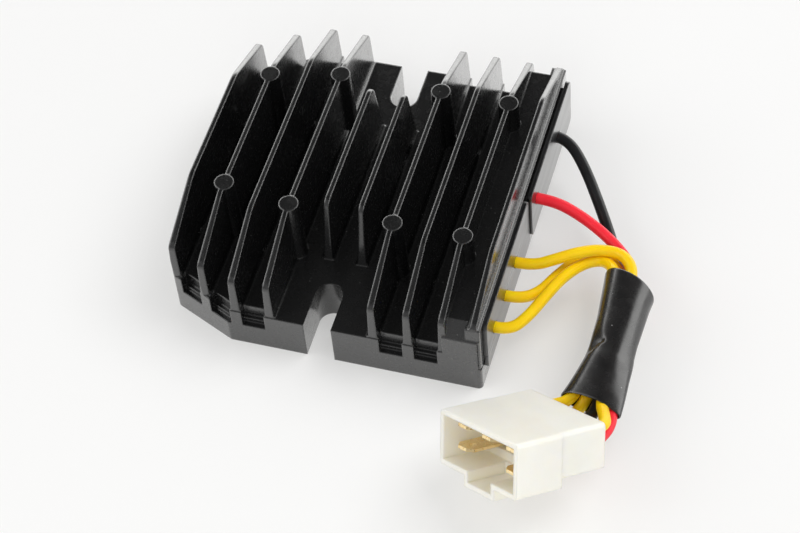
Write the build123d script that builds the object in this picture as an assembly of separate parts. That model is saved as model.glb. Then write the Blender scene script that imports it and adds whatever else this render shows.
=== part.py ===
"""Voltage regulator rectifier: finned die-cast heat sink, potted circuit, five leads and a plug.

The part rests on its flat base. X runs right across the fins to the side the leads leave by,
Y runs back along the fins and Z is up. All sizes are in millimetres. The model is first built
with fin 1 on X = 0 and the front face on Y = 0, and then every piece is moved together so
that the origin lies under the middle of the heat sink's box.
"""
from build123d import *
from math import radians, tan
import os

# Heat sink, overall
BODY_LENGTH = 90.9
DECK_HEIGHT = 12.7
CREST_HEIGHT = 32.0
RIGHT_FACE_X = 83.5
CORNER_RADIUS = 1.2

# Cut corners on the left side, as distances along X and along Y
CUT_CORNER_X = 15.9
FRONT_CUT_Y = 7.6
BACK_CUT_Y = 10.4

# Fins, numbered from the left: a full group, a short group and another full group
LEFT_FIN_COUNT = 4
SHORT_FIN_COUNT = 2
RIGHT_FIN_COUNT = 3
FIN_PITCH = 9.2
FIN_CREST = 1.4
FIN_ROOT = 2.5
FIN_ROOT_RADIUS = 0.8
FIN_EDGE_RADIUS = 0.35
FIN_END_HEIGHT = 24.4
FIN_END_LEAN = 0.7
FIN_END_RADIUS = 2.2
FIN_BEND_RADIUS = 8.0
FIN_SLOPE_RUN = 18.7
SHORT_FIN_GAP = 7.4
SHORT_FIN_LEAN = 3.6
SHORT_FIN_END_RADIUS = 2.6
SIDE_FIN_X = 81.8

# Steps in the channel floors at the front and back edges
UPPER_LEDGE_DEPTH = 2.6
UPPER_LEDGE_HEIGHT = 8.9
LOWER_LEDGE_DEPTH = 1.5
LOWER_LEDGE_HEIGHT = 7.5
LEDGE_SIDE_GAP = 0.1

# Round columns that stand in four of the fins
COLUMN_FINS = (2, 4, 7, 9)
COLUMN_RADIUS = 2.6
COLUMN_DRAFT = 1.8
COLUMN_BEHIND_BEND = 3.4
COLUMN_RISE = 0.15
COLUMN_EDGE_RADIUS = 0.3

# Open mounting notches, front and back
NOTCH_WIDTH = 7.4
NOTCH_X = 40.4
BOLT_SPACING = 69.7

# Raised block on the right and the chamber inside it
BLOCK_LEFT_X = 73.6
BLOCK_HEIGHT = 23.5
BLOCK_SLOPE_RUN = 3.4
BLOCK_SLOPE_DROP = 4.5
SIDE_GROOVE_DEPTH = 0.6
SIDE_GROOVE_WIDTH = 0.8
SIDE_GROOVE_HEIGHT = 8.0
LIP_GROOVE_DEPTH = 0.5
LIP_GROOVE_WIDTH = 0.3
LIP_THICKNESS = 0.5
CHAMBER_DEPTH = 8.3
CHAMBER_END_WALL = 5.15
CHAMBER_BOTTOM = 8.6
CHAMBER_TOP = 21.0

# Cover plates that close the chamber, lead holes through them
PLATE_THICKNESS = 1.1
PLATE_TOP = 22.6
FRONT_PLATE_BOTTOM = 5.2
BACK_PLATE_BOTTOM = 6.6
PLATE_INSET = 3.1
PLATE_GAP = 0.4
PLATE_CORNER_RADIUS = 1.6
RESIN_PAD = 0.6
HOLE_CLEARANCE = 0.2

# Circuit inside the chamber. Along Y, its places and widths are shares of the body's length
SUBSTRATE_THICKNESS = 1.2
SUBSTRATE_MARGIN = 0.9
DEVICE_SIZE = (2.3, 0.050, 6.0)
THYRISTOR_SHARES = (0.173, 0.288, 0.402)
DIODE_SHARES = (0.473, 0.644, 0.715)
DEVICE_Z = 14.8
TAB_SIZE = (0.6, 0.053, 4.8)
BOARD_THICKNESS = 1.0
BOARD_STANDOFF = 3.4
BOARD_START_SHARE = 0.435
BOARD_HOLE_RADIUS = 2.1
PIN_RADIUS = 0.5
PIN_INSET = 1.4
CHIP_SIZE = (1.5, 0.068, 5.0)
CHIP_SHARE = 0.666
CAPACITOR_SIZE = (1.9, 0.037, 4.4)
CAPACITOR_SHARE = 0.495
ZENER_SIZE = (1.2, 0.024, 4.0)
ZENER_SHARE = 0.741
RESISTOR_SIZE = (0.6, 0.014, 3.2)
RESISTOR_SHARES = (0.598, 0.618, 0.869, 0.895)
RESISTOR_SPACING = 5.2

# Leads
LEAD_DIAMETER = 3.0
CORE_DIAMETER = 1.9
LEAD_SEAT = 3.2
BEND_SHARE = 0.45

# Connector housing, its pose on the table and its terminals
SHELL_WIDTH = 30.9
SHELL_HEIGHT = 14.0
SHELL_LENGTH = 26.6
SHELL_WALL = 1.3
SHELL_RADIUS = 1.0
MOUTH_DEPTH = 15.0
SHELL_CORNER = (103.24, -36.99, 35.6)
SHELL_YAW = 45.8
SHELL_PITCH = 22.6
SHELL_ROLL = -28.7
COLUMN_PITCH = 9.7
UPPER_ROW = -3.4
LOWER_ROW = -9.1
CAVITY_WIDTH = 7.6
CAVITY_HEIGHT = 3.9
CAVITY_FLOOR = 2.4
REAR_START = 13.5
REAR_STEP = 2.3
REAR_SIDE_STEP = 0.4
KEY_WIDTH = 12.0
KEY_DROP = 2.9
KEY_LENGTH = 12.6
KEY_OFFSET = -0.6
BLADE_WIDTH = 6.3
BLADE_THICKNESS = 0.8
BLADE_TIP_INSET = 2.4
BLADE_SLOT_CLEARANCE = 0.2
BLADE_HOLE_RADIUS = 0.9
BLADE_HOLE_FROM_TIP = 3.2
BARREL_RADIUS = 1.75
BODY_HEIGHT = 2.6
BODY_LENGTH_SHARE = 3.4
LEAD_INSERTION = 1.0

# Protective sleeve round the leads: middle, direction across, inner width and inner height
SLEEVE_WALL = 0.6
SLEEVE_CORNER_RADIUS = 2.0
SLEEVE_SECTIONS = (
    ((114.9, 28.8, 14.9), (0.95, -0.31, 0.00), 12.6, 9.6),
    ((116.2, 21.0, 15.1), (0.98, -0.15, 0.02), 11.0, 8.6),
    ((115.9, 12.5, 15.1), (0.99, -0.05, 0.05), 10.4, 7.1),
    ((114.8, 4.5, 14.8), (0.98, -0.12, 0.10), 11.9, 6.8),
    ((114.0, -0.5, 14.1), (0.97, -0.18, 0.13), 14.1, 6.3),
    ((113.5, -5.2, 13.4), (0.96, -0.24, 0.15), 15.6, 5.4),
)


def fin_x(number):
    """X of a numbered fin's middle plane."""
    return (number - 1) * FIN_PITCH


FIRST_RIGHT_FIN = LEFT_FIN_COUNT + SHORT_FIN_COUNT + 1
FIN_COUNT = LEFT_FIN_COUNT + SHORT_FIN_COUNT + RIGHT_FIN_COUNT
LEFT_FACE_X = -FIN_ROOT / 2
CHAMBER_BACK_X = RIGHT_FACE_X - CHAMBER_DEPTH
MIDDLE_Y = BODY_LENGTH / 2
CHAMBER_END_Y = BODY_LENGTH - CHAMBER_END_WALL
SIDE_DRAFT = (FIN_ROOT - FIN_CREST) / 2 / (CREST_HEIGHT - DECK_HEIGHT)
FRONT_PLATE_FACE_X = RIGHT_FACE_X + PLATE_THICKNESS
BACK_PLATE_FACE_X = RIGHT_FACE_X + RESIN_PAD + PLATE_THICKNESS
SUBSTRATE_FACE_X = CHAMBER_BACK_X + SUBSTRATE_THICKNESS
TAB_FACE_X = SUBSTRATE_FACE_X + TAB_SIZE[0]
BOARD_BACK_X = SUBSTRATE_FACE_X + BOARD_STANDOFF
BOARD_FACE_X = BOARD_BACK_X + BOARD_THICKNESS
ORIGIN_SHIFT = Vector(-(LEFT_FACE_X + BACK_PLATE_FACE_X) / 2, -MIDDLE_Y, 0)

# Leads from front to back: the face each leaves, and its place there as a share of the length and a height
LEAD_HOLES = {
    "yellow_lead_1": (FRONT_PLATE_FACE_X, 0.1122, 13.6),
    "yellow_lead_2": (FRONT_PLATE_FACE_X, 0.2321, 12.6),
    "yellow_lead_3": (FRONT_PLATE_FACE_X, 0.3432, 13.8),
    "red_lead": (BACK_PLATE_FACE_X, 0.5611, 16.4),
    "black_lead": (BACK_PLATE_FACE_X, 0.8086, 15.2),
}
LEAD_EXITS = {name: (x, share * BODY_LENGTH, z) for name, (x, share, z) in LEAD_HOLES.items()}


def block(x0, x1, y0, y1, z0, z1):
    """A box between two corners."""
    return Pos((x0 + x1) / 2, (y0 + y1) / 2, (z0 + z1) / 2) * Box(x1 - x0, y1 - y0, z1 - z0)


def prism_along_x(points, x0, x1):
    """A solid with a YZ outline, from x0 to x1."""
    outline = Plane.YZ * make_face(Polyline([(y, z) for y, z in points], close=True))
    return Pos(x0, 0, 0) * extrude(outline, amount=x1 - x0)


def plan_outline(inset=0.0):
    """The heat sink's plan as a face, with its two cut corners and without the notches."""
    corners = [
        (CUT_CORNER_X, 0),
        (RIGHT_FACE_X, 0),
        (RIGHT_FACE_X, BODY_LENGTH),
        (CUT_CORNER_X, BODY_LENGTH),
        (LEFT_FACE_X, BODY_LENGTH - BACK_CUT_Y),
        (LEFT_FACE_X, FRONT_CUT_Y),
    ]
    face = make_face(Polyline(corners, close=True))
    if inset:
        return offset(face, amount=-inset, kind=Kind.INTERSECTION)
    return fillet(face.vertices(), CORNER_RADIUS)


def cut_corner_setback(x, cut_y):
    """How far a cut corner pushes the edge back at a given X."""
    share = (CUT_CORNER_X - x) / (CUT_CORNER_X - LEFT_FACE_X)
    return max(0.0, share) * cut_y


def fin_bends(x):
    """Y of the front and the back bend in a full fin's crest."""
    front = cut_corner_setback(x, FRONT_CUT_Y) + FIN_END_LEAN + FIN_SLOPE_RUN
    back = BODY_LENGTH - cut_corner_setback(x, BACK_CUT_Y) - FIN_END_LEAN - FIN_SLOPE_RUN
    return front, back


def long_fin_outline(x):
    """Side view of a fin that runs from the front edge to the back edge."""
    front_edge = cut_corner_setback(x, FRONT_CUT_Y)
    back_edge = BODY_LENGTH - cut_corner_setback(x, BACK_CUT_Y)
    front_bend, back_bend = fin_bends(x)
    lower = [(front_edge, 0), (front_edge, LOWER_LEDGE_HEIGHT)]
    upper = [
        (front_edge + FIN_END_LEAN, FIN_END_HEIGHT),
        (front_bend, CREST_HEIGHT),
        (back_bend, CREST_HEIGHT),
        (back_edge - FIN_END_LEAN, FIN_END_HEIGHT),
    ]
    points = lower + upper + [(back_edge, LOWER_LEDGE_HEIGHT), (back_edge, 0)]
    face = make_face(Polyline(points, close=True))
    ends = [v for v in face.vertices() if abs(v.Y - FIN_END_HEIGHT) < 1e-6]
    face = fillet(ends, FIN_END_RADIUS)
    bends = [v for v in face.vertices() if abs(v.Y - CREST_HEIGHT) < 1e-6]
    return fillet(bends, FIN_BEND_RADIUS)


def short_fin_outline():
    """Side view of a fin that stands between the two notches."""
    front_foot = bolt_center_y(True) + NOTCH_WIDTH / 2 + SHORT_FIN_GAP
    back_foot = bolt_center_y(False) - NOTCH_WIDTH / 2 - SHORT_FIN_GAP
    points = [
        (front_foot, DECK_HEIGHT / 2),
        (front_foot, DECK_HEIGHT),
        (front_foot + SHORT_FIN_LEAN, CREST_HEIGHT),
        (back_foot - SHORT_FIN_LEAN, CREST_HEIGHT),
        (back_foot, DECK_HEIGHT),
        (back_foot, DECK_HEIGHT / 2),
    ]
    face = make_face(Polyline(points, close=True))
    tops = [v for v in face.vertices() if abs(v.Y - CREST_HEIGHT) < 1e-6]
    return fillet(tops, SHORT_FIN_END_RADIUS)


def half_thickness(height):
    """Half of a fin's thickness at a height, its sides being drafted."""
    return FIN_CREST / 2 + SIDE_DRAFT * (CREST_HEIGHT - height)


def fin_section(x, foot, floor):
    """Cross-section of a fin with drafted sides, its foot and a fillet on each side of it."""
    crest = [(x + FIN_CREST / 2, CREST_HEIGHT), (x - FIN_CREST / 2, CREST_HEIGHT)]
    half_floor = half_thickness(floor)
    reach = half_floor + FIN_ROOT_RADIUS * 1.5
    right = [(x - reach, foot), (x + reach, foot), (x + reach, floor), (x + half_floor, floor)]
    left = [(x - half_floor, floor), (x - reach, floor)]
    section = make_face(Polyline(right + crest + left, close=True))
    roots = [
        v for v in section.vertices()
        if abs(v.Y - floor) < 1e-6 and abs(v.X - x) < reach - 1e-6
    ]
    return fillet(roots, FIN_ROOT_RADIUS)


def fin(x, outline, foot, floor):
    """One fin: its cross-section along Y, kept inside its side view, with rounded crest edges."""
    section = Plane.XZ * fin_section(x, foot, floor)
    web = Pos(0, BODY_LENGTH, 0) * extrude(section, amount=BODY_LENGTH)
    side = Pos(x - FIN_PITCH / 2, 0, 0) * extrude(Plane.YZ * outline, amount=FIN_PITCH)
    solid = web & side
    rim = []
    for edge in solid.edges():
        middle = edge @ 0.5
        on_side = abs(abs(middle.X - x) - half_thickness(middle.Z)) < 0.02
        along = abs((edge % 0.5).X) < 0.2
        if on_side and along and middle.Z > floor + FIN_ROOT_RADIUS + 0.5:
            rim.append(edge)
    return fillet(rim, FIN_EDGE_RADIUS)


def column(x, y):
    """A round column with drafted sides that stands in a fin."""
    height = CREST_HEIGHT + COLUMN_RISE - LOWER_LEDGE_HEIGHT
    foot_radius = COLUMN_RADIUS + height * tan(radians(COLUMN_DRAFT))
    solid = Pos(x, y, LOWER_LEDGE_HEIGHT + height / 2) * Cone(foot_radius, COLUMN_RADIUS, height)
    top_edge = solid.edges().sort_by(Axis.Z)[-1]
    return fillet(top_edge, COLUMN_EDGE_RADIUS)


def channel_ledge(number, depth, height):
    """What a ledge takes from one channel's floor along the front and back edges."""
    prism = extrude(plan_outline(), amount=CREST_HEIGHT)
    ring = prism - extrude(plan_outline(depth), amount=CREST_HEIGHT)
    clear = half_thickness(LOWER_LEDGE_HEIGHT) + LEDGE_SIDE_GAP
    low_x = fin_x(number) + clear
    high_x = fin_x(number + 1) - clear
    top = DECK_HEIGHT + FIN_ROOT_RADIUS + LEDGE_SIDE_GAP
    return ring & block(low_x, high_x, -1, BODY_LENGTH + 1, height, top)


def notch(front):
    """An open U notch for a mounting bolt."""
    bolt_y = bolt_center_y(front)
    edge_y = -1 if front else BODY_LENGTH + 1
    low, high = sorted((bolt_y, edge_y))
    slot = block(NOTCH_X - NOTCH_WIDTH / 2, NOTCH_X + NOTCH_WIDTH / 2, low, high, -1, DECK_HEIGHT + 1)
    end = Pos(NOTCH_X, bolt_y, DECK_HEIGHT / 2) * Cylinder(NOTCH_WIDTH / 2, DECK_HEIGHT + 2)
    return slot + end


def bolt_center_y(front):
    """Y of a mounting bolt seated in its notch."""
    return MIDDLE_Y - BOLT_SPACING / 2 if front else MIDDLE_Y + BOLT_SPACING / 2


def side_block():
    """The raised block on the right, sloped off at both ends."""
    low_edge = BLOCK_HEIGHT - BLOCK_SLOPE_DROP
    points = [
        (0, 0),
        (0, low_edge),
        (BLOCK_SLOPE_RUN, BLOCK_HEIGHT),
        (BODY_LENGTH - BLOCK_SLOPE_RUN, BLOCK_HEIGHT),
        (BODY_LENGTH, low_edge),
        (BODY_LENGTH, 0),
    ]
    return prism_along_x(points, BLOCK_LEFT_X, RIGHT_FACE_X)


def side_grooves():
    """The groove under the mouth's lip and the fine ones behind the lip at both ends."""
    low = SIDE_GROOVE_HEIGHT - SIDE_GROOVE_WIDTH / 2
    high = SIDE_GROOVE_HEIGHT + SIDE_GROOVE_WIDTH / 2
    grooves = block(RIGHT_FACE_X - SIDE_GROOVE_DEPTH, RIGHT_FACE_X + 1, -1, BODY_LENGTH + 1, low, high)
    lip_x = RIGHT_FACE_X - LIP_THICKNESS
    top = BLOCK_HEIGHT - BLOCK_SLOPE_DROP
    for start in (-1, BODY_LENGTH - LIP_GROOVE_DEPTH):
        end = start + 1 + LIP_GROOVE_DEPTH
        grooves += block(lip_x - LIP_GROOVE_WIDTH, lip_x, start, end, SIDE_GROOVE_HEIGHT, top)
    return grooves


def chamber():
    """The space for the circuit, open to the right."""
    return block(
        CHAMBER_BACK_X, RIGHT_FACE_X, CHAMBER_END_WALL, CHAMBER_END_Y, CHAMBER_BOTTOM, CHAMBER_TOP
    )


def heatsink_housing():
    """The one-piece casting: base, fins, columns, notches and the chamber."""
    deck = extrude(plan_outline(), amount=DECK_HEIGHT)
    for front in (True, False):
        deck -= notch(front)
    body = deck + side_block()
    for number in range(1, FIN_COUNT + 1):
        short = LEFT_FIN_COUNT < number < FIRST_RIGHT_FIN
        outline = short_fin_outline() if short else long_fin_outline(fin_x(number))
        body += fin(fin_x(number), outline, DECK_HEIGHT / 2, DECK_HEIGHT)
    body += fin(SIDE_FIN_X, long_fin_outline(SIDE_FIN_X), BLOCK_HEIGHT / 2, BLOCK_HEIGHT)
    for number in (*range(1, LEFT_FIN_COUNT), *range(FIRST_RIGHT_FIN, FIN_COUNT)):
        body -= channel_ledge(number, UPPER_LEDGE_DEPTH, UPPER_LEDGE_HEIGHT)
        body -= channel_ledge(number, LOWER_LEDGE_DEPTH, LOWER_LEDGE_HEIGHT)
    for number in COLUMN_FINS:
        front_bend, back_bend = fin_bends(fin_x(number))
        body += column(fin_x(number), front_bend + COLUMN_BEHIND_BEND)
        body += column(fin_x(number), back_bend - COLUMN_BEHIND_BEND)
    body &= extrude(plan_outline(), amount=CREST_HEIGHT + COLUMN_RISE)
    return body - chamber() - side_grooves()


def plate(front):
    """A thin cover plate with a hole for each lead that leaves through it."""
    start = PLATE_INSET if front else MIDDLE_Y + PLATE_GAP / 2
    end = MIDDLE_Y - PLATE_GAP / 2 if front else BODY_LENGTH - PLATE_INSET
    bottom = FRONT_PLATE_BOTTOM if front else BACK_PLATE_BOTTOM
    face_x = FRONT_PLATE_FACE_X if front else BACK_PLATE_FACE_X
    outline = Pos((start + end) / 2, (bottom + PLATE_TOP) / 2) * RectangleRounded(
        end - start, PLATE_TOP - bottom, PLATE_CORNER_RADIUS
    )
    sheet = Pos(face_x - PLATE_THICKNESS, 0, 0) * extrude(Plane.YZ * outline, amount=PLATE_THICKNESS)
    for x, y, z in LEAD_EXITS.values():
        if x == face_x:
            hole = Pos(x, y, z) * Rot(0, 90, 0) * Cylinder(
                LEAD_DIAMETER / 2 + HOLE_CLEARANCE, 4 * PLATE_THICKNESS
            )
            sheet -= hole
    return sheet


def chamber_slab(x0, x1, y0, y1, margin):
    """A flat piece inside the chamber, set in from its floor and roof by a margin."""
    return block(x0, x1, y0, y1, CHAMBER_BOTTOM + margin, CHAMBER_TOP - margin)


def insulating_substrate():
    """The insulating plate on the chamber's inner wall."""
    start = CHAMBER_END_WALL + SUBSTRATE_MARGIN
    end = CHAMBER_END_Y - SUBSTRATE_MARGIN
    return chamber_slab(CHAMBER_BACK_X, SUBSTRATE_FACE_X, start, end, SUBSTRATE_MARGIN)


def mounted(size, face_x, share, z):
    """A small block seated on a face that looks along +X, at a share of the body's length."""
    depth, width_share, height = size
    low_y = (share - width_share / 2) * BODY_LENGTH
    high_y = (share + width_share / 2) * BODY_LENGTH
    return block(face_x, face_x + depth, low_y, high_y, z - height / 2, z + height / 2)


def control_board():
    """The circuit board that stands off from the substrate, with holes where leads pass."""
    start = BOARD_START_SHARE * BODY_LENGTH
    end = CHAMBER_END_Y - SUBSTRATE_MARGIN
    board = chamber_slab(BOARD_BACK_X, BOARD_FACE_X, start, end, SUBSTRATE_MARGIN)
    for x, y, z in LEAD_EXITS.values():
        if y > start:
            board -= Pos(BOARD_FACE_X, y, z) * Rot(0, 90, 0) * Cylinder(
                BOARD_HOLE_RADIUS, 4 * BOARD_THICKNESS
            )
    return board


def board_pins():
    """The pins that join the board to the substrate."""
    start = BOARD_START_SHARE * BODY_LENGTH
    end = CHAMBER_END_Y - SUBSTRATE_MARGIN
    low = CHAMBER_BOTTOM + SUBSTRATE_MARGIN + PIN_INSET
    high = CHAMBER_TOP - SUBSTRATE_MARGIN - PIN_INSET
    pins = []
    for y in (start + PIN_INSET, end - PIN_INSET):
        for z in (low, high):
            pin = Pos(SUBSTRATE_FACE_X + BOARD_STANDOFF / 2, y, z) * Rot(0, 90, 0)
            pins.append(pin * Cylinder(PIN_RADIUS, BOARD_STANDOFF))
    return Compound(pins)


def board_resistors():
    """The chip resistors on the board."""
    middle = (CHAMBER_BOTTOM + CHAMBER_TOP) / 2
    parts = []
    for share in RESISTOR_SHARES:
        for side in (-1, 1):
            z = middle + side * RESISTOR_SPACING / 2
            parts.append(mounted(RESISTOR_SIZE, BOARD_FACE_X, share, z))
    return Compound(parts)


def lead_end(exit_point):
    """The inner end of a lead: insulation through the plate, then the bare core down to its tab."""
    x, y, z = exit_point
    seat_x = x - LEAD_SEAT
    jacket = Pos((x + seat_x) / 2, y, z) * Rot(0, 90, 0) * Cylinder(LEAD_DIAMETER / 2, LEAD_SEAT)
    core_length = seat_x - TAB_FACE_X
    core = Pos(TAB_FACE_X + core_length / 2, y, z) * Rot(0, 90, 0) * Cylinder(CORE_DIAMETER / 2, core_length)
    return jacket + core


def potting_resin(inner_pieces):
    """The resin that fills the chamber round the circuit and backs the stepped-out plate."""
    pad_start = MIDDLE_Y + PLATE_GAP / 2
    pad = block(
        RIGHT_FACE_X, RIGHT_FACE_X + RESIN_PAD, pad_start, CHAMBER_END_Y, CHAMBER_BOTTOM, CHAMBER_TOP
    )
    resin = chamber() + pad
    for piece in inner_pieces:
        resin -= piece
    return resin


def shell_place():
    """Where the connector lies: its mouth's near upper corner and its three turns."""
    turn = Rot(0, 0, SHELL_YAW) * Rot(0, SHELL_PITCH, 0) * Rot(SHELL_ROLL, 0, 0)
    return Pos(*SHELL_CORNER) * turn


def shell_slot(column_number, row):
    """Centre of a terminal position in the connector's own frame."""
    return SHELL_WIDTH / 2 + column_number * COLUMN_PITCH, row


TERMINALS = {
    "yellow_lead_1": (1, UPPER_ROW),
    "yellow_lead_2": (1, LOWER_ROW),
    "black_lead": (0, UPPER_ROW),
    "yellow_lead_3": (-1, UPPER_ROW),
    "red_lead": (-1, LOWER_ROW),
}


def connector_housing():
    """The moulded plug: a wide mouth in front, and a slimmer rear with five cavities."""
    hood = block(0, REAR_START, 0, SHELL_WIDTH, -SHELL_HEIGHT, 0)
    hood = fillet(hood.edges().filter_by(Axis.X), SHELL_RADIUS)
    rear_floor = REAR_STEP - SHELL_HEIGHT
    rear = block(
        REAR_START / 2, SHELL_LENGTH,
        REAR_SIDE_STEP, SHELL_WIDTH - REAR_SIDE_STEP,
        rear_floor, 0,
    )
    outer = hood + fillet(rear.edges().filter_by(Axis.X), SHELL_RADIUS)
    key_middle = SHELL_WIDTH / 2 + KEY_OFFSET
    key = block(
        0, KEY_LENGTH,
        key_middle - KEY_WIDTH / 2, key_middle + KEY_WIDTH / 2,
        -SHELL_HEIGHT - KEY_DROP, -SHELL_HEIGHT,
    )
    mouth = block(
        0, REAR_START - SHELL_WALL,
        SHELL_WALL, SHELL_WIDTH - SHELL_WALL,
        -SHELL_HEIGHT + SHELL_WALL, -SHELL_WALL,
    )
    mouth += block(
        0, MOUTH_DEPTH,
        SHELL_WALL, SHELL_WIDTH - SHELL_WALL,
        rear_floor + SHELL_WALL, -SHELL_WALL,
    )
    key_way = block(
        0, KEY_LENGTH - SHELL_WALL,
        key_middle - KEY_WIDTH / 2 + SHELL_WALL, key_middle + KEY_WIDTH / 2 - SHELL_WALL,
        -SHELL_HEIGHT - KEY_DROP + SHELL_WALL, -SHELL_HEIGHT + SHELL_WALL,
    )
    shell = outer + key - mouth - key_way
    for column_number, row in TERMINALS.values():
        y, z = shell_slot(column_number, row)
        shell -= block(
            MOUTH_DEPTH + CAVITY_FLOOR, SHELL_LENGTH,
            y - CAVITY_WIDTH / 2, y + CAVITY_WIDTH / 2,
            z - CAVITY_HEIGHT / 2, z + CAVITY_HEIGHT / 2,
        )
        slot_half = BLADE_WIDTH / 2 + BLADE_SLOT_CLEARANCE
        shell -= block(
            MOUTH_DEPTH, MOUTH_DEPTH + CAVITY_FLOOR,
            y - slot_half, y + slot_half,
            z - BLADE_THICKNESS / 2 - BLADE_SLOT_CLEARANCE, z + BLADE_THICKNESS / 2 + BLADE_SLOT_CLEARANCE,
        )
    return shell_place() * shell


def blade_terminal(slot):
    """A flat blade with a lock hole, a folded body and a barrel that holds the lead."""
    y, z = shell_slot(*slot)
    half = BLADE_WIDTH / 2
    body_start = MOUTH_DEPTH + CAVITY_FLOOR
    tip_cut = BLADE_WIDTH / 4
    outline = Polyline([
        (BLADE_TIP_INSET, y - half + tip_cut),
        (BLADE_TIP_INSET + tip_cut, y - half),
        (body_start, y - half),
        (body_start, y + half),
        (BLADE_TIP_INSET + tip_cut, y + half),
        (BLADE_TIP_INSET, y + half - tip_cut),
    ], close=True)
    blade = Pos(0, 0, z - BLADE_THICKNESS / 2) * extrude(make_face(outline), amount=BLADE_THICKNESS)
    blade -= Pos(BLADE_TIP_INSET + BLADE_HOLE_FROM_TIP, y, z) * Cylinder(BLADE_HOLE_RADIUS, 2 * BLADE_THICKNESS)
    body_end = body_start + BODY_LENGTH_SHARE
    body = block(body_start, body_end, y - half, y + half, z - BODY_HEIGHT / 2, z + BODY_HEIGHT / 2)
    barrel_length = SHELL_LENGTH - LEAD_INSERTION - body_end
    barrel = Pos(body_end + barrel_length / 2, y, z) * Rot(0, 90, 0) * Cylinder(BARREL_RADIUS, barrel_length)
    return shell_place() * (blade + body + barrel)


def lead_entry(name, outside):
    """A point on a lead's line at the connector, a distance outside its rear face."""
    y, z = shell_slot(*TERMINALS[name])
    place = shell_place() * Pos(SHELL_LENGTH + outside, y, z)
    return tuple(place.position)


# Straight run of each lead outside its plate
EXIT_RUNS = {
    "yellow_lead_1": 4.0,
    "yellow_lead_2": 4.0,
    "yellow_lead_3": 4.6,
    "red_lead": 4.8,
    "black_lead": 4.6,
}

# Free routes of the leads between those runs and the connector, chosen by hand
LEAD_ROUTES = {
    "yellow_lead_1": [
        (92.0, 15.0, 14.0), (94.6, 22.4, 13.8), (97.6, 30.0, 13.4),
        (102.2, 35.2, 13.4), (107.4, 35.7, 14.7), (111.4, 30.1, 17.8), (112.7, 21.6, 17.2),
        (112.5, 12.7, 16.4), (110.7, 5.0, 15.1), (108.7, 0.5, 13.9), (107.4, -4.7, 12.8),
    ],
    "yellow_lead_2": [
        (92.6, 25.2, 11.4), (95.2, 31.4, 11.0), (100.2, 37.0, 10.6),
        (106.2, 38.6, 11.4), (110.8, 35.2, 13.4), (112.7, 29.7, 14.7), (114.1, 21.3, 14.3),
        (114.0, 12.6, 13.6), (112.9, 4.8, 12.9), (111.5, 0.0, 12.3), (110.3, -5.5, 11.9),
    ],
    "black_lead": [
        (96.2, 67.0, 13.4), (101.6, 57.8, 11.2), (105.4, 48.6, 9.0),
        (109.4, 40.4, 8.4), (113.0, 34.2, 9.8), (114.2, 29.2, 11.8), (116.9, 20.9, 12.3),
        (117.2, 12.4, 13.3), (116.0, 4.4, 13.2), (114.5, -0.6, 12.8), (113.2, -6.2, 13.0),
    ],
    "yellow_lead_3": [
        (94.6, 33.0, 15.8), (100.0, 35.8, 16.8), (105.4, 37.8, 17.0),
        (110.6, 37.2, 17.4), (113.8, 33.6, 17.8), (114.9, 28.9, 18.0), (116.3, 21.0, 17.6),
        (115.8, 12.5, 16.8), (115.7, 4.4, 16.5), (116.3, -0.9, 16.0), (116.0, -6.9, 14.3),
        (118.0, -11.6, 16.7),
    ],
    "red_lead": [
        (96.2, 49.0, 15.8), (102.6, 45.8, 15.2), (108.6, 42.0, 14.6),
        (114.0, 37.0, 14.4), (116.1, 28.5, 14.8), (118.9, 20.6, 15.7), (119.4, 12.3, 16.2),
        (118.9, 4.0, 15.3), (119.2, -1.4, 14.4), (119.3, -7.7, 13.3), (121.2, -12.6, 13.2),
    ],
}

# Straight run of each lead outside the connector, before it goes in
ENTRY_RUNS = {
    "yellow_lead_1": 4.0,
    "yellow_lead_2": 5.5,
    "black_lead": 4.5,
    "yellow_lead_3": 4.4,
    "red_lead": 5.2,
}


def lead_points(name):
    """All the points of a lead's free route, from its plate to its terminal."""
    x, y, z = LEAD_EXITS[name]
    points = [(x, y, z), (x + EXIT_RUNS[name], y, z)] + LEAD_ROUTES[name]
    return points + [lead_entry(name, ENTRY_RUNS[name]), lead_entry(name, -LEAD_INSERTION)]


def bend_radii(points):
    """Each arc is as large as its two runs allow."""
    radii = []
    for before, here, after in zip(points, points[1:], points[2:]):
        run_in = Vector(*here) - Vector(*before)
        run_out = Vector(*after) - Vector(*here)
        turn = radians(run_in.get_angle(run_out))
        radii.append(BEND_SHARE * min(run_in.length, run_out.length) / tan(turn / 2))
    return radii


def lead_tube(name):
    """The free length of a lead as straight runs joined by tangent arcs."""
    points = lead_points(name)
    radii = bend_radii(points)
    path = FilletPolyline(*points, radius=radii)
    section = Plane(path @ 0, z_dir=path % 0) * Circle(LEAD_DIAMETER / 2)
    tube = sweep(section, path=path)
    print(name, "length", round(path.length, 1), "radii", [round(r, 1) for r in radii])
    print("  volume share", round(tube.volume / (section.area * path.length), 4))
    return tube


def sleeve_profile(place, across, width, height, wall):
    """The sleeve's outline at one station, grown by a wall."""
    along = Vector(*across).cross(Vector(0, 0, 1))
    plane = Plane(origin=place, x_dir=across, z_dir=along)
    return plane * RectangleRounded(width + 2 * wall, height + 2 * wall, SLEEVE_CORNER_RADIUS + wall)


def protective_sleeve():
    """The flattened tube that holds the leads together."""
    outer = loft([sleeve_profile(*section, SLEEVE_WALL) for section in SLEEVE_SECTIONS])
    inner = loft([sleeve_profile(*section, 0) for section in SLEEVE_SECTIONS])
    return outer - inner


def save(name, shape):
    """Move a piece to the part's origin and write it."""
    moved = Pos(*ORIGIN_SHIFT) * shape
    export_step(moved, f"parts/{name}.step")


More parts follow.
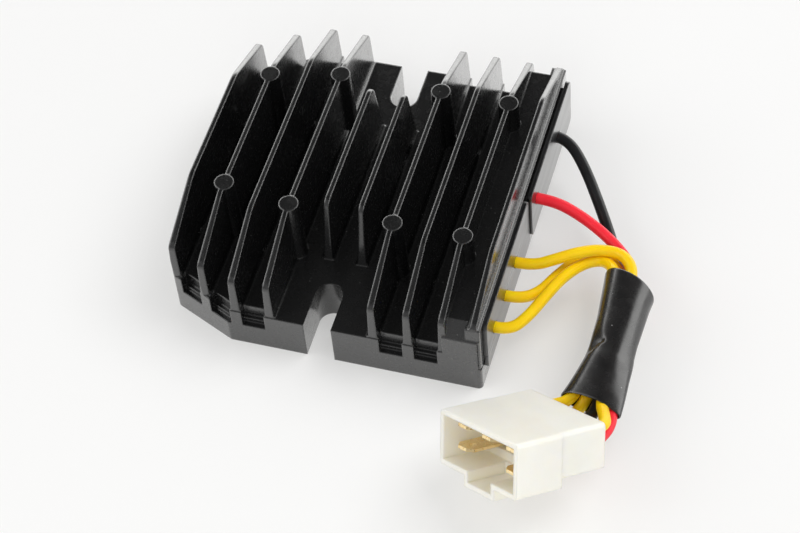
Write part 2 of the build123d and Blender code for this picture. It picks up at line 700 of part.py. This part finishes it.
def main():
    os.makedirs("parts", exist_ok=True)
    pieces = {"insulating_substrate": insulating_substrate()}
    for kind, shares in (("thyristor", THYRISTOR_SHARES), ("diode", DIODE_SHARES)):
        for number, share in enumerate(shares, 1):
            pieces[f"{kind}_{number}"] = mounted(DEVICE_SIZE, SUBSTRATE_FACE_X, share, DEVICE_Z)
    middle_z = (CHAMBER_BOTTOM + CHAMBER_TOP) / 2
    pieces["control_board"] = control_board()
    pieces["board_pins"] = board_pins()
    for name, size, share in (
        ("control_chip", CHIP_SIZE, CHIP_SHARE),
        ("filter_capacitor", CAPACITOR_SIZE, CAPACITOR_SHARE),
        ("zener_diode", ZENER_SIZE, ZENER_SHARE),
    ):
        pieces[name] = mounted(size, BOARD_FACE_X, share, middle_z)
    pieces["board_resistors"] = board_resistors()
    for name, exit_point in LEAD_EXITS.items():
        share, z = LEAD_HOLES[name][1:]
        pieces[name.replace("lead", "solder_tab")] = mounted(TAB_SIZE, SUBSTRATE_FACE_X, share, z)
        pieces[name.replace("lead", "lead_end")] = lead_end(exit_point)
    pieces["potting_resin"] = potting_resin(list(pieces.values()))
    pieces["heatsink_housing"] = heatsink_housing()
    pieces["front_cover_plate"] = plate(True)
    pieces["back_cover_plate"] = plate(False)
    pieces["connector_housing"] = connector_housing()
    pieces["protective_sleeve"] = protective_sleeve()
    for name in LEAD_EXITS:
        pieces[name] = lead_tube(name)
        pieces[name.replace("lead", "blade_terminal")] = blade_terminal(TERMINALS[name])
    for name, shape in pieces.items():
        save(name, shape)


main()
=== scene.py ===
"""Looks of a potted voltage regulator rectifier on a white table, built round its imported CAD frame."""
from math import cos, radians, sin

import bpy
from mathutils import Matrix, Vector


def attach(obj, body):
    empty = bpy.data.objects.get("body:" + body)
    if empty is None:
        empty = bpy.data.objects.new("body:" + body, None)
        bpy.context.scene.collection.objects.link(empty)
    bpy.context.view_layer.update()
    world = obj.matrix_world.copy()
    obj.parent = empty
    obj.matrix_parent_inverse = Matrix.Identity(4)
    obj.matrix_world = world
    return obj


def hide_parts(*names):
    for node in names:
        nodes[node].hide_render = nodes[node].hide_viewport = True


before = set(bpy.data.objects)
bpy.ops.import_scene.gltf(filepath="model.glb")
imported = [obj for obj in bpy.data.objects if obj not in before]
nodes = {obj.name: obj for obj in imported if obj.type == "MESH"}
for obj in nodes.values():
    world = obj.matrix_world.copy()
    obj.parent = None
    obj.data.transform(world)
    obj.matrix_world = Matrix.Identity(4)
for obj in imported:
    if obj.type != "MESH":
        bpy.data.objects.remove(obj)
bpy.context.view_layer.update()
scene = bpy.context.scene

# The leads, the sleeve and the camera are given in the drawing's own millimetres, from a corner of the base
MM = 0.001
DRAWING_SHIFT = Vector((-41.975, -45.45, 0.0))


def at(point):
    """A point of the drawing, in millimetres, as a place in the frame, in metres."""
    return (Vector(point) + DRAWING_SHIFT) * MM


# Camera: lens and sensor in millimetres, and where it stands round its target
LENS = 109.92
SENSOR = 36.0
CAMERA_AZIMUTH = radians(21.072)
CAMERA_ELEVATION = radians(52.143)
CAMERA_ROLL = radians(-6.138)
CAMERA_DISTANCE = 646.46
CAMERA_TARGET = (52.05, 33.03, 0.0)


def make_camera():
    """The camera at the photograph's angle."""
    back = Vector((
        sin(CAMERA_AZIMUTH) * cos(CAMERA_ELEVATION),
        -cos(CAMERA_AZIMUTH) * cos(CAMERA_ELEVATION),
        sin(CAMERA_ELEVATION),
    ))
    right = (-back).cross(Vector((0, 0, 1))).normalized()
    up = right.cross(-back)
    x_axis = cos(CAMERA_ROLL) * right + sin(CAMERA_ROLL) * up
    y_axis = -sin(CAMERA_ROLL) * right + cos(CAMERA_ROLL) * up
    data = bpy.data.cameras.new("photo_camera")
    data.lens = LENS
    data.sensor_width = SENSOR
    data.clip_start = 0.01
    data.clip_end = 20
    camera = bpy.data.objects.new("photo_camera", data)
    turn = Matrix((x_axis, y_axis, back)).transposed().to_4x4()
    camera.matrix_world = Matrix.Translation(at(CAMERA_TARGET) + back * CAMERA_DISTANCE * MM) @ turn
    scene.collection.objects.link(camera)
    scene.camera = camera


# Leads: real length and the route's own points from the plate to the terminal, all in millimetres
LEAD_DIAMETER = 3.0
LEADS = {
    "yellow_lead_1": (89.6, [
        (84.6, 10.2, 13.6), (88.6, 10.2, 13.6), (92.0, 15.0, 14.0), (94.6, 22.4, 13.8),
        (97.6, 30.2, 13.4), (102.2, 35.9, 13.4), (107.4, 36.5, 14.7), (111.4, 30.1, 17.8),
        (112.2, 21.6, 16.8), (112.1, 12.7, 16.2), (111.1, 5.0, 15.1), (109.9, 0.5, 14.0),
        (108.4, -6.4, 12.6), (103.4, -7.7, 10.6), (101.1, -10.0, 11.9),
    ]),
    "yellow_lead_2": (91.4, [
        (84.6, 21.1, 12.6), (88.6, 21.1, 12.6), (92.6, 25.2, 11.4), (95.2, 31.4, 11.0),
        (99.6, 38.4, 11.0), (106.0, 39.8, 12.0), (110.8, 35.4, 13.4), (112.7, 29.7, 14.7),
        (114.1, 21.3, 14.3), (114.0, 12.6, 13.6), (112.9, 4.8, 12.9), (111.5, 0.0, 12.3),
        (112.1, -5.2, 12.3), (107.6, -9.4, 6.4), (101.7, -13.2, 7.2),
    ]),
    "black_lead": (103.2, [
        (85.2, 73.5, 15.2), (88.4, 73.2, 15.0), (94.4, 66.2, 13.4), (100.2, 57.2, 11.2),
        (105.4, 48.6, 9.0), (109.4, 40.4, 8.4), (113.0, 34.2, 9.8), (114.2, 29.2, 11.8),
        (116.9, 20.9, 12.3), (117.2, 12.4, 13.3), (116.0, 4.4, 13.2), (114.5, -0.6, 12.8),
        (115.0, -6.2, 11.8), (113.6, -11.6, 12.4), (108.4, -14.6, 16.2),
    ]),
    "yellow_lead_3": (88.2, [
        (84.6, 31.2, 13.8), (89.2, 31.2, 13.8), (94.6, 33.0, 15.8), (100.0, 35.8, 16.8),
        (105.4, 37.8, 17.0), (110.9, 37.4, 17.4), (114.4, 33.8, 17.8), (115.3, 28.9, 18.0),
        (116.3, 21.0, 17.6), (115.8, 12.5, 16.8), (115.7, 4.4, 16.5), (116.3, -0.9, 16.0),
        (116.0, -6.9, 14.3), (118.0, -11.6, 16.7), (119.2, -15.7, 18.4), (115.7, -19.3, 20.5),
    ]),
    "red_lead": (95.4, [
        (85.2, 51.0, 16.4), (90.0, 51.0, 16.4), (96.2, 49.0, 15.8), (102.6, 45.8, 15.2),
        (108.4, 41.8, 14.6), (113.6, 36.6, 14.4), (115.7, 28.5, 14.8), (118.2, 20.6, 15.0),
        (118.2, 12.3, 15.0), (118.3, 4.0, 14.8), (118.6, -1.4, 14.3), (119.0, -7.7, 13.4),
        (119.6, -12.6, 13.6), (117.7, -17.4, 14.3), (116.4, -22.5, 15.9),
    ]),
}

# The sleeve from its top rim down: middle, direction across, outer width and height, then in halves of
# those the place across of the fold's ridge and the height there of the flattened upper left side
SLEEVE_STATIONS = (
    ((114.9, 29.2, 15.3), (0.95, -0.31, 0.00), 13.4, 11.4, -0.99, 1.0),
    ((114.9, 25.1, 15.1), (0.96, -0.24, 0.01), 12.3, 10.6, -0.84, 1.0),
    ((115.0, 21.2, 15.1), (0.98, -0.15, 0.02), 11.6, 9.6, -0.72, 1.0),
    ((115.1, 16.8, 15.1), (0.98, -0.10, 0.03), 11.0, 8.8, -0.58, 1.0),
    ((115.0, 12.5, 15.1), (0.99, -0.05, 0.05), 10.8, 8.2, -0.44, 1.0),
    ((115.0, 10.2, 15.0), (0.99, -0.07, 0.06), 10.8, 8.1, -0.34, 0.96),
    ((115.0, 8.5, 14.9), (0.99, -0.09, 0.07), 10.9, 8.0, -0.34, 0.74),
    ((115.0, 6.5, 14.8), (0.98, -0.10, 0.08), 11.3, 7.9, -0.58, 0.64),
    ((114.9, 4.5, 14.8), (0.98, -0.12, 0.10), 11.7, 7.9, -0.80, 0.62),
    ((114.6, 2.0, 14.5), (0.98, -0.15, 0.12), 12.4, 7.7, -0.98, 0.90),
    ((114.3, -0.6, 14.1), (0.97, -0.18, 0.13), 13.3, 7.4, -0.99, 1.0),
    ((113.9, -3.9, 13.7), (0.96, -0.24, 0.15), 14.6, 6.8, -0.99, 1.0),
    ((113.3, -7.2, 13.2), (0.96, -0.24, 0.15), 15.8, 6.3, -0.99, 1.0),
)

# The sleeve's outline at its top and further down, from its left side over the top, in halves of its
# width and height
ROUND_OUTLINE = (
    (-1.00, 0.00), (-0.90, 0.50), (-0.62, 0.86), (-0.20, 1.00), (0.25, 0.98), (0.62, 0.76), (0.90, 0.36),
    (1.00, -0.10), (0.88, -0.60), (0.50, -0.92), (0.00, -1.00), (-0.50, -0.92), (-0.88, -0.55),
)
FLAT_OUTLINE = (
    (-1.00, -0.10), (-0.88, 0.36), (-0.62, 0.78), (-0.25, 0.97), (0.18, 1.00), (0.44, 0.86), (0.76, 0.38),
    (1.00, -0.18), (0.86, -0.64), (0.50, -0.92), (0.00, -1.00), (-0.50, -0.94), (-0.86, -0.60),
)
SLEEVE_WALL = 0.5
FOLD_EDGE = 0.28  # height of the folded side at the sleeve's left edge
FLATTENING = 1.6  # the outline is the flat one after the sleeve's length over this
SLEEVE_AROUND = 4  # mesh points for each point of the outline
SLEEVE_STEPS = 4  # mesh rings for each station

# A Mix node's sockets by number, because those for floats and for colours share their names
FLOAT_A, FLOAT_B = 2, 3
COLOUR_A, COLOUR_B, COLOUR_RESULT = 6, 7, 2

# Most noise falls between these
NOISE_LOW = 0.3
NOISE_HIGH = 0.7

# The table: the colour and share of its own glow, how many times stronger that is in reflections behind
# the part, the distance from its middle within which it rises to that, and half its side, in metres
FLOOR_GLOW = (0.975, 0.970, 0.955)
FLOOR_GLOW_SHARE = 0.38
MIRRORED_GLOW = 2.0
GLOW_RISE = 0.06
TABLE_HALF = 3.0

# The world: its even light, and for reflections the brightness and the upper fade of a band low down, how
# much of that height is lost to the sides, and the darker front with the place where it begins to fade
SOFT_LIGHT = (0.47, 0.47, 0.465)
SURROUND = (3.6, 3.6, 3.55)
SURROUND_STOPS = [(0.0, 1.0), (0.26, 1.0), (0.42, 0.20), (0.58, 0.02), (1.0, 0.01)]
SURROUND_TILT = -0.22
DARK_FRONT = (0.45, 0.45, 0.45)
FRONT_FADE = -0.75

# Lamps: place and size in metres, power in watts, and whether gloss mirrors them
LAMPS = {
    "key_lamp": ((0.60, 0.42, 1.05), 0.8, 8.3, False),
    "fill_lamp": ((-0.9, -0.3, 0.8), 0.9, 3.6, True),
    "front_lamp": ((0.1, -1.1, 0.7), 0.8, 4.4, False),
}


def graph(name):
    """A new node material, the calls that add and link its nodes, and its shader."""
    material = bpy.data.materials.new(name)
    material.use_nodes = True
    tree = material.node_tree
    return material, tree.nodes.new, tree.links.new, tree.nodes["Principled BSDF"]


def noise(add, link, scale, detail=3.0, stretch=None):
    """Noise on the piece's own coordinates, with features about 1/scale metres wide."""
    coordinates = add("ShaderNodeTexCoord").outputs["Object"]
    if stretch:
        mapping = add("ShaderNodeMapping")
        mapping.inputs["Scale"].default_value = stretch
        link(coordinates, mapping.inputs["Vector"])
        coordinates = mapping.outputs["Vector"]
    texture = add("ShaderNodeTexNoise")
    texture.inputs["Scale"].default_value = scale
    texture.inputs["Detail"].default_value = detail
    link(coordinates, texture.inputs["Vector"])
    return texture.outputs["Fac"]


def ramp(add, link, value, stops):
    """A colour ramp over a value; stops are (place, grey or colour)."""
    node = add("ShaderNodeValToRGB")
    elements = node.color_ramp.elements
    elements.remove(elements[1])
    elements[0].position = stops[0][0]
    for number, (place, colour) in enumerate(stops):
        element = elements.new(place) if number else elements[0]
        rgb = colour if isinstance(colour, tuple) else (colour,) * 3
        element.color = (*rgb, 1)
    link(value, node.inputs["Fac"])
    return node.outputs["Color"]


def two_tones(add, link, value, deep, pale):
    """Noise as a colour from deep to pale."""
    return ramp(add, link, value, [(NOISE_LOW, deep), (NOISE_HIGH, pale)])


def map_range(add, link, value, before, after):
    """A value brought from one range to another; each is a pair of ends."""
    node = add("ShaderNodeMapRange")
    for name, number in zip(("From Min", "From Max", "To Min", "To Max"), (*before, *after)):
        node.inputs[name].default_value = number
    link(value, node.inputs["Value"])
    return node.outputs["Result"]


def remap(add, link, value, low, high):
    """Noise as a number from low to high."""
    return map_range(add, link, value, (NOISE_LOW, NOISE_HIGH), (low, high))


def calculate(add, link, operation, *values):
    """A Math node's result; each value is a socket or a plain number."""
    node = add("ShaderNodeMath")
    node.operation = operation
    for socket, value in zip(node.inputs, values):
        if isinstance(value, float):
            socket.default_value = value
        else:
            link(value, socket)
    return node.outputs[0]


def bump(add, link, height, depth, strength=1.0, normal=None):
    """Bump of a depth in metres, over another normal if there is one."""
    node = add("ShaderNodeBump")
    node.inputs["Strength"].default_value = strength
    node.inputs["Distance"].default_value = depth
    link(height, node.inputs["Height"])
    if normal is not None:
        link(normal, node.inputs["Normal"])
    return node.outputs["Normal"]


def rounded(add, radius):
    """A normal that rounds sharp edges by a radius in metres."""
    node = add("ShaderNodeBevel")
    node.samples = 6
    node.inputs["Radius"].default_value = radius
    return node.outputs["Normal"]


def mix_colour(add, link, factor, first, second):
    """Two colours mixed by a factor; each is a socket or a plain colour."""
    node = add("ShaderNodeMix")
    node.data_type = "RGBA"
    link(factor, node.inputs["Factor"])
    for number, colour in ((COLOUR_A, first), (COLOUR_B, second)):
        if isinstance(colour, tuple):
            node.inputs[number].default_value = (*colour, 1)
        else:
            link(colour, node.inputs[number])
    return node.outputs[COLOUR_RESULT]


def specks(add, link, scale, size, share):
    """A mask of small scattered dust grains, white on black."""
    cells = add("ShaderNodeTexVoronoi")
    cells.inputs["Scale"].default_value = scale
    link(add("ShaderNodeTexCoord").outputs["Object"], cells.inputs["Vector"])
    chance = add("ShaderNodeSeparateColor")
    link(cells.outputs["Color"], chance.inputs["Color"])
    near = calculate(add, link, "LESS_THAN", cells.outputs["Distance"], size)
    kept = calculate(add, link, "LESS_THAN", chance.outputs["Red"], share)
    return calculate(add, link, "MULTIPLY", near, kept)


def cast_material():
    """Gloss black paint on a die casting: faint orange peel, edge rounding, dust."""
    material, add, link, shader = graph("cast_gloss_black")
    paint = two_tones(add, link, noise(add, link, 60), (0.0055, 0.0056, 0.0058), (0.008, 0.008, 0.0082))
    dust = specks(add, link, 620, 0.085, 0.22)
    link(mix_colour(add, link, dust, paint, (0.10, 0.10, 0.10)), shader.inputs["Base Color"])
    link(remap(add, link, noise(add, link, 420), 0.20, 0.32), shader.inputs["Roughness"])
    peel = bump(add, link, noise(add, link, 1500), 0.000025, 0.5, rounded(add, 0.0006))
    link(bump(add, link, noise(add, link, 5200), 0.000012, 0.4, peel), shader.inputs["Normal"])
    link(peel, shader.inputs["Coat Normal"])
    shader.inputs["Coat Weight"].default_value = 1.0
    shader.inputs["Coat Roughness"].default_value = 0.20
    return material


def plate_material():
    """Black cover plates: smoother paint with fine rubbed streaks along them."""
    material, add, link, shader = graph("plate_gloss_black")
    streaks = noise(add, link, 300, 4.0, (1, 0.12, 1))
    paint = ramp(add, link, streaks, [(0.35, (0.005, 0.005, 0.0055)), (0.75, (0.014, 0.014, 0.015))])
    dust = specks(add, link, 700, 0.08, 0.2)
    link(mix_colour(add, link, dust, paint, (0.12, 0.12, 0.12)), shader.inputs["Base Color"])
    link(remap(add, link, streaks, 0.26, 0.42), shader.inputs["Roughness"])
    soft = bump(add, link, noise(add, link, 900), 0.00002, 0.4, rounded(add, 0.0006))
    link(soft, shader.inputs["Normal"])
    link(soft, shader.inputs["Coat Normal"])
    shader.inputs["Coat Weight"].default_value = 0.8
    shader.inputs["Coat Roughness"].default_value = 0.28
    return material


def insulation_material(name, deep, pale, roughness):
    """Extruded lead insulation: even colour with faint flow lines and a soft gloss."""
    material, add, link, shader = graph(name)
    link(two_tones(add, link, noise(add, link, 160), deep, pale), shader.inputs["Base Color"])
    sheen = remap(add, link, noise(add, link, 900), roughness - 0.05, roughness + 0.07)
    link(sheen, shader.inputs["Roughness"])
    shader.inputs["Subsurface Weight"].default_value = 0.12
    shader.inputs["Subsurface Scale"].default_value = 0.0008
    link(bump(add, link, noise(add, link, 2600), 0.00001, 0.5), shader.inputs["Normal"])
    shader.inputs["IOR"].default_value = 1.45
    shader.inputs["Specular IOR Level"].default_value = 0.35
    return material


def sleeve_material():
    """Thin soft vinyl: dark grey, with shallow ripples and a few pale scuffs."""
    material, add, link, shader = graph("sleeve_vinyl")
    tone = two_tones(add, link, noise(add, link, 220), (0.010, 0.0098, 0.0100), (0.017, 0.016, 0.016))
    dust = specks(add, link, 500, 0.07, 0.12)
    link(mix_colour(add, link, dust, tone, (0.3, 0.3, 0.3)), shader.inputs["Base Color"])
    link(remap(add, link, noise(add, link, 300), 0.20, 0.32), shader.inputs["Roughness"])
    ripples = bump(add, link, noise(add, link, 240, 2.0), 0.00008, 0.5)
    link(bump(add, link, noise(add, link, 2200), 0.00001, 0.5, ripples), shader.inputs["Normal"])
    shader.inputs["IOR"].default_value = 1.6
    return material


def nylon_material():
    """Milky moulded nylon that lets some light through."""
    material, add, link, shader = graph("natural_nylon")
    tone = two_tones(add, link, noise(add, link, 130), (0.96, 0.91, 0.79), (0.98, 0.94, 0.83))
    link(tone, shader.inputs["Base Color"])
    link(remap(add, link, noise(add, link, 380), 0.30, 0.42), shader.inputs["Roughness"])
    shader.inputs["Subsurface Weight"].default_value = 0.6
    shader.inputs["Subsurface Radius"].default_value = (1.0, 0.85, 0.6)
    shader.inputs["Subsurface Scale"].default_value = 0.004
    shader.inputs["IOR"].default_value = 1.45
    soft = bump(add, link, noise(add, link, 700), 0.00003, 0.4, rounded(add, 0.0007))
    link(soft, shader.inputs["Normal"])
    return material


def metal_material(name, deep, pale, low, high):
    """Rolled and stamped metal with brushed variation."""
    material, add, link, shader = graph(name)
    brushed = noise(add, link, 1600, 3.0, (1, 1, 0.2))
    link(two_tones(add, link, brushed, deep, pale), shader.inputs["Base Color"])
    link(remap(add, link, brushed, low, high), shader.inputs["Roughness"])
    shader.inputs["Metallic"].default_value = 1.0
    link(bump(add, link, brushed, 0.000004, 0.4, rounded(add, 0.00015)), shader.inputs["Normal"])
    return material


def plain_material(name, deep, pale, scale, low, high):
    """A moulded, fired or laminated surface with two tones and a fine grain."""
    material, add, link, shader = graph(name)
    link(two_tones(add, link, noise(add, link, scale), deep, pale), shader.inputs["Base Color"])
    link(remap(add, link, noise(add, link, scale * 3), low, high), shader.inputs["Roughness"])
    link(bump(add, link, noise(add, link, scale * 8), 0.00002, 0.5), shader.inputs["Normal"])
    return material


def floor_material():
    """Pale table, part white by itself to the camera, and brighter behind the part in reflections."""
    material, add, link, shader = graph("table_white")
    tone = noise(add, link, 1.5, 2.0)
    link(two_tones(add, link, tone, (0.86, 0.86, 0.865), (0.88, 0.88, 0.88)), shader.inputs["Base Color"])
    shader.inputs["Roughness"].default_value = 0.8
    shader.inputs["Specular IOR Level"].default_value = 0.2
    paths = add("ShaderNodeLightPath").outputs
    seen = calculate(add, link, "MAXIMUM", paths["Is Camera Ray"], paths["Is Glossy Ray"])
    share = calculate(add, link, "MULTIPLY", seen, FLOOR_GLOW_SHARE)
    split = add("ShaderNodeSeparateXYZ")
    link(add("ShaderNodeTexCoord").outputs["Object"], split.inputs[0])
    behind = map_range(add, link, split.outputs["Y"], (-GLOW_RISE, GLOW_RISE), (1.0, MIRRORED_GLOW))
    strength = add("ShaderNodeMix")
    link(paths["Is Glossy Ray"], strength.inputs["Factor"])
    strength.inputs[FLOAT_A].default_value = 1.0
    link(behind, strength.inputs[FLOAT_B])
    glow = add("ShaderNodeEmission")
    glow.inputs["Color"].default_value = (*FLOOR_GLOW, 1)
    link(strength.outputs[0], glow.inputs["Strength"])
    mixed = add("ShaderNodeMixShader")
    link(share, mixed.inputs["Fac"])
    link(shader.outputs[0], mixed.inputs[1])
    link(glow.outputs[0], mixed.inputs[2])
    link(mixed.outputs[0], material.node_tree.nodes["Material Output"].inputs["Surface"])
    return material


def lead_curve(name, points, material):
    """A lead as a round NURBS curve along its route."""
    curve = bpy.data.curves.new(f"{name}_insulation", "CURVE")
    curve.dimensions = "3D"
    spline = curve.splines.new("NURBS")
    spline.points.add(len(points) - 1)
    for control, point in zip(spline.points, points):
        control.co = (*at(point), 1)
    spline.order_u = 3
    spline.use_endpoint_u = True
    spline.resolution_u = 10
    curve.bevel_depth = LEAD_DIAMETER / 2 * MM
    curve.bevel_resolution = 7
    curve.use_fill_caps = True
    curve.materials.append(material)
    lead = bpy.data.objects.new(f"{name}_insulation", curve)
    scene.collection.objects.link(lead)
    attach(lead, "root")
    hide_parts(name)
    return lead


def catmull(values, share):
    """Four neighbours blended smoothly; the result runs from the second to the third."""
    before, here, after, beyond = values
    return 0.5 * (
        2 * here + (after - before) * share
        + (2 * before - 5 * here + 4 * after - beyond) * share * share
        + (3 * here - before - 3 * after + beyond) * share * share * share
    )


def between(rows, place):
    """A smooth reading of rows of Vectors or numbers at a place counted in rows."""
    index = min(int(place), len(rows) - 2)
    picked = [rows[min(max(index + shift, 0), len(rows) - 1)] for shift in (-1, 0, 1, 2)]
    return [catmull(column, place - index) for column in zip(*picked)]


def sleeve_ring(middle, across, width, height, ridge, shoulder, flatness):
    """Points round the sleeve at one station, its upper left folded flat from its edge to the ridge."""
    across = across.normalized()
    up = across.cross(Vector((0, 0, 1))).normalized().cross(across)
    corners = [
        Vector(round_one).lerp(Vector(flat_one), flatness)
        for round_one, flat_one in zip(ROUND_OUTLINE, FLAT_OUTLINE)
    ]
    ring = []
    for index in range(len(corners)):
        picked = [corners[(index + shift) % len(corners)] for shift in (-1, 0, 1, 2)]
        for step in range(SLEEVE_AROUND):
            x, y = catmull(picked, step / SLEEVE_AROUND)
            if y > 0 and x < ridge:
                y = min(y, FOLD_EDGE + (shoulder - FOLD_EDGE) * (x + 1) / (ridge + 1))
            ring.append(middle + across * (x * width / 2) + up * (y * height / 2))
    return ring


def make_sleeve(material):
    """The flattened vinyl tube round the leads."""
    rows = [
        (Vector(middle), Vector(across), width, height, ridge, shoulder)
        for middle, across, width, height, ridge, shoulder in SLEEVE_STATIONS
    ]
    count = (len(rows) - 1) * SLEEVE_STEPS
    around = len(ROUND_OUTLINE) * SLEEVE_AROUND
    points = []
    for step in range(count + 1):
        flatness = min(1.0, FLATTENING * step / count)
        points += [at(point) for point in sleeve_ring(*between(rows, step / SLEEVE_STEPS), flatness)]
    faces = []
    for row in range(count):
        for step in range(around):
            after = (step + 1) % around
            base, top = row * around, (row + 1) * around
            faces.append((base + step, base + after, top + after, top + step))
    mesh = bpy.data.meshes.new("vinyl_sleeve")
    mesh.from_pydata(points, [], faces)
    mesh.shade_smooth()
    mesh.materials.append(material)
    sleeve = bpy.data.objects.new("vinyl_sleeve", mesh)
    scene.collection.objects.link(sleeve)
    wall = sleeve.modifiers.new("wall", "SOLIDIFY")
    wall.thickness = SLEEVE_WALL * MM
    wall.offset = -1
    smooth = sleeve.modifiers.new("smooth", "SUBSURF")
    smooth.levels = 1
    smooth.render_levels = 1
    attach(sleeve, "root")
    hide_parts("protective_sleeve")
    return sleeve


def area_lamp(name, place, size, power, mirrored):
    """A soft square lamp aimed at the part, shown in reflections or not."""
    data = bpy.data.lights.new(name, "AREA")
    data.shape = "SQUARE"
    data.size = size
    data.energy = power
    lamp = bpy.data.objects.new(name, data)
    lamp.visible_camera = False
    lamp.visible_glossy = mirrored
    lamp.location = place
    lamp.rotation_euler = (-Vector(place)).to_track_quat("-Z", "Y").to_euler()
    scene.collection.objects.link(lamp)


def make_world():
    """A pale studio: white to the camera, even for soft light, bright low down behind in reflections."""
    world = bpy.data.worlds.new("studio")
    scene.world = world
    world.use_nodes = True
    add, link = world.node_tree.nodes.new, world.node_tree.links.new
    background = world.node_tree.nodes["Background"]
    split = add("ShaderNodeSeparateXYZ")
    link(add("ShaderNodeTexCoord").outputs["Generated"], split.inputs[0])
    sideways = calculate(add, link, "ABSOLUTE", split.outputs["X"])
    height = calculate(add, link, "MULTIPLY_ADD", sideways, SURROUND_TILT, split.outputs["Z"])
    share = ramp(add, link, height, SURROUND_STOPS)
    low_down = mix_colour(add, link, share, (0.0, 0.0, 0.0), SURROUND)
    ahead = map_range(add, link, split.outputs["Y"], (FRONT_FADE, 0.0), (0.0, 1.0))
    band = mix_colour(add, link, ahead, DARK_FRONT, low_down)
    paths = add("ShaderNodeLightPath").outputs
    lighting = mix_colour(add, link, paths["Is Glossy Ray"], SOFT_LIGHT, band)
    seen = mix_colour(add, link, paths["Is Camera Ray"], lighting, (1.0, 1.0, 1.0))
    link(seen, background.inputs["Color"])
    background.inputs["Strength"].default_value = 1.0


def make_stage():
    """Table, lamps and world."""
    mesh = bpy.data.meshes.new("table")
    corners = [(x * TABLE_HALF, y * TABLE_HALF, 0) for x, y in ((-1, -1), (1, -1), (1, 1), (-1, 1))]
    mesh.from_pydata(corners, [], [(0, 1, 2, 3)])
    mesh.materials.append(floor_material())
    table = bpy.data.objects.new("table", mesh)
    scene.collection.objects.link(table)
    for name, (place, size, power, mirrored) in LAMPS.items():
        area_lamp(name, place, size, power, mirrored)
    make_world()


def dress_nodes():
    """A procedural material on every CAD node; gives back those of the lead insulation."""
    insulations = {
        "yellow": insulation_material("yellow_insulation", (0.97, 0.60, 0.002), (1.0, 0.68, 0.004), 0.34),
        "red": insulation_material("red_insulation", (0.90, 0.020, 0.040), (0.98, 0.034, 0.055), 0.36),
        "black": insulation_material("black_insulation", (0.012, 0.012, 0.013), (0.020, 0.020, 0.021), 0.38),
    }
    brass = metal_material("brass", (0.90, 0.68, 0.34), (0.98, 0.80, 0.46), 0.24, 0.36)
    tinned = metal_material("tinned_metal", (0.55, 0.55, 0.54), (0.75, 0.75, 0.73), 0.28, 0.45)
    resin = plain_material("potting_resin", (0.010, 0.010, 0.011), (0.022, 0.021, 0.020), 240, 0.35, 0.6)
    ceramic = plain_material("ceramic", (0.70, 0.70, 0.67), (0.80, 0.80, 0.78), 300, 0.45, 0.6)
    epoxy = plain_material("moulded_epoxy", (0.012, 0.012, 0.012), (0.022, 0.022, 0.022), 500, 0.5, 0.7)
    board = plain_material("board_mask", (0.010, 0.085, 0.030), (0.014, 0.120, 0.045), 260, 0.25, 0.4)
    tan = plain_material("capacitor_coat", (0.42, 0.25, 0.10), (0.55, 0.34, 0.14), 300, 0.4, 0.55)
    # The first of these words that a node's name holds gives its material
    finishes = {
        "heatsink_housing": cast_material(),
        "cover_plate": plate_material(),
        "potting_resin": resin,
        "insulating_substrate": ceramic,
        "control_board": board,
        "board_pins": tinned,
        "control_chip": epoxy,
        "filter_capacitor": tan,
        "board_resistors": ceramic,
        "connector_housing": nylon_material(),
        "protective_sleeve": sleeve_material(),
        "thyristor": epoxy,
        "diode": epoxy,
        "solder_tab": tinned,
        "blade_terminal": brass,
        **{f"{colour}_lead": material for colour, material in insulations.items()},
    }
    for name, node in nodes.items():
        word = next(word for word in finishes if word in name)
        node.data.materials.clear()
        node.data.materials.append(finishes[word])
    return insulations


def make_leads(insulations, sleeve):
    """Every lead's curve, with a list of the pieces it carries."""
    for name, (length, points) in LEADS.items():
        colour = name.split("_")[0]
        lead = lead_curve(name, points, insulations[colour])
        with_pieces = [nodes[name.replace("lead", "blade_terminal")]]
        if name == "yellow_lead_1":
            with_pieces += [nodes["connector_housing"], sleeve]


make_camera()
insulations = dress_nodes()
make_leads(insulations, make_sleeve(nodes["protective_sleeve"].data.materials[0]))
make_stage()

scene.view_settings.view_transform = "Standard"
